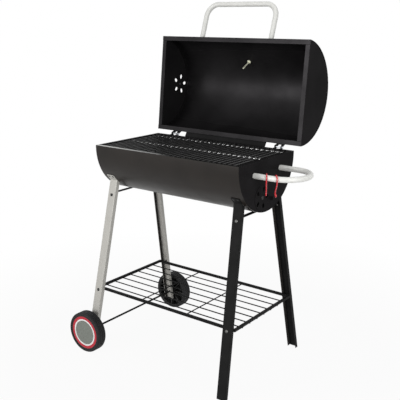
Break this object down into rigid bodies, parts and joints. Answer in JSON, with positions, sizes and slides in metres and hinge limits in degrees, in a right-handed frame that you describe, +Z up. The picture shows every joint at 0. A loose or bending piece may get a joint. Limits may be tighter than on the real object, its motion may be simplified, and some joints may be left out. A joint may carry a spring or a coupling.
{
  "type": "charcoal barrel barbecue",
  "caption": "Half-barrel charcoal barbecue on a four-legged trolley with a hinged open lid, air vents, wire shelf, wheels, tube handles and hooks.",
  "frame": {"origin": "on the floor, in the middle of the overall box with the lid open", "axes": "+X along the barrel from the wheels to the side handle, +Y from the front to the back, where the lid is hinged, +Z up"},
  "size_m": [0.9, 0.7076, 1.3638],
  "materials": {
    "black_enamel": "satin black heat-proof enamel",
    "silver_paint": "smooth silver-grey paint",
    "black_paint": "satin black powder coat",
    "black_steel": "semi-gloss black coated steel",
    "pale_paint": "glossy pale silver coating",
    "zinc_steel": "bright zinc plated",
    "black_rubber": "matte black",
    "black_plastic": "moulded black",
    "grey_plastic": "smooth mid grey",
    "red_plastic": "glossy red",
    "red_paint": "glossy red dip coating",
    "white_card": "printed white face",
    "clear_glass": "clear"
  },
  "bodies": {
    "stand": {"bowl_shell": "black_enamel", "bowl_end_left": "black_enamel", "bowl_end_right": "black_enamel", "bowl_vent_rivet": "zinc_steel", "leg_front_left": "silver_paint", "leg_back_left": "silver_paint", "leg_front_right": "black_paint", "leg_back_right": "black_paint", "brace_left": "black_paint", "brace_right": "black_paint", "lower_shelf": "black_paint", "axle": "black_steel", "axle_cap_front": "zinc_steel", "axle_cap_back": "zinc_steel", "side_handle": "pale_paint", "side_handle_screw_front": "zinc_steel", "side_handle_screw_back": "zinc_steel", "hinge_bracket_left": "black_paint", "hinge_bracket_right": "black_paint", "hinge_pin_left": "zinc_steel", "hinge_pin_right": "zinc_steel", "lid_stop": "black_paint", "brace_bolt_front_left": "black_steel", "brace_bolt_front_right": "black_steel", "brace_bolt_back_left": "black_steel", "brace_bolt_back_right": "black_steel", "shelf_bolt_front_left": "black_steel", "shelf_bolt_front_right": "black_steel", "shelf_bolt_back_left": "black_steel", "shelf_bolt_back_right": "black_steel"},
    "lid": {"lid_shell": "black_enamel", "lid_end_left": "black_enamel", "lid_end_right": "black_enamel", "lid_handle": "pale_paint", "lid_handle_screw_left": "zinc_steel", "lid_handle_screw_right": "zinc_steel", "hinge_strap_left": "black_paint", "hinge_strap_right": "black_paint", "thermometer_case": "zinc_steel", "thermometer_dial": "white_card", "thermometer_lens": "clear_glass", "thermometer_nut": "zinc_steel", "lid_vent_rivet": "zinc_steel"},
    "lid_vent_damper": {"lid_vent_disc": "black_enamel"},
    "bowl_vent_damper": {"bowl_vent_disc": "black_enamel"},
    "thermometer_pointer": {"thermometer_needle": "red_paint"},
    "front_wheel": {"wheel_tyre_front": "black_rubber", "wheel_rim_front": "black_plastic", "wheel_cap_front": "grey_plastic", "wheel_trim_front": "red_plastic"},
    "back_wheel": {"wheel_tyre_back": "black_rubber", "wheel_rim_back": "black_plastic", "wheel_cap_back": "grey_plastic", "wheel_trim_back": "red_plastic"},
    "first_hook": {"s_hook_1": "red_paint"},
    "second_hook": {"s_hook_2": "red_paint"},
    "cooking_grate": {"cooking_grate": "black_steel"},
    "charcoal_grate": {"charcoal_grate": "black_steel"}
  },
  "joints": [
    {"name": "lid_hinge", "type": "hinge", "parent": "stand", "child": "lid", "pos_m": [-0.04777, 0.14874, 0.828], "axis": [1, 0, 0], "range_deg": [0, 95.8]},
    {"name": "lid_vent_turn", "type": "hinge", "parent": "lid", "child": "lid_vent_damper", "pos_m": [-0.39477, 0.29894, 1.02031], "axis": [-1, 0, 0], "range_deg": [0, 36]},
    {"name": "bowl_vent_turn", "type": "hinge", "parent": "stand", "child": "bowl_vent_damper", "pos_m": [0.28223, -0.08976, 0.69], "axis": [1, 0, 0], "range_deg": [0, 36]},
    {"name": "thermometer_reading", "type": "hinge", "parent": "lid", "child": "thermometer_pointer", "pos_m": [-0.04777, 0.3239, 1.13024], "axis": [0, -0.8729, -0.4879], "range_deg": [0, 240]},
    {"name": "front_wheel_spin", "type": "hinge", "parent": "stand", "child": "front_wheel", "pos_m": [-0.36798, -0.33276, 0.082], "axis": [0, 1, 0], "continuous": true},
    {"name": "back_wheel_spin", "type": "hinge", "parent": "stand", "child": "back_wheel", "pos_m": [-0.36798, 0.21724, 0.082], "axis": [0, 1, 0], "continuous": true},
    {"name": "first_hook_swing", "type": "hinge", "parent": "stand", "child": "first_hook", "pos_m": [0.33123, -0.14526, 0.779], "axis": [1, 0, 0], "range_deg": [-60, 60]},
    {"name": "second_hook_swing", "type": "hinge", "parent": "stand", "child": "second_hook", "pos_m": [0.36823, -0.14404, 0.779], "axis": [0.9858, 0.1676, 0], "range_deg": [-60, 60]},
    {"name": "cooking_grate_lift", "type": "slide", "parent": "stand", "child": "cooking_grate", "axis": [0, 0, 1], "range_m": [0, 0.06]},
    {"name": "charcoal_grate_lift", "type": "slide", "parent": "stand", "child": "charcoal_grate", "axis": [0, 0, 1], "range_m": [0, 0.075]}
  ]
}
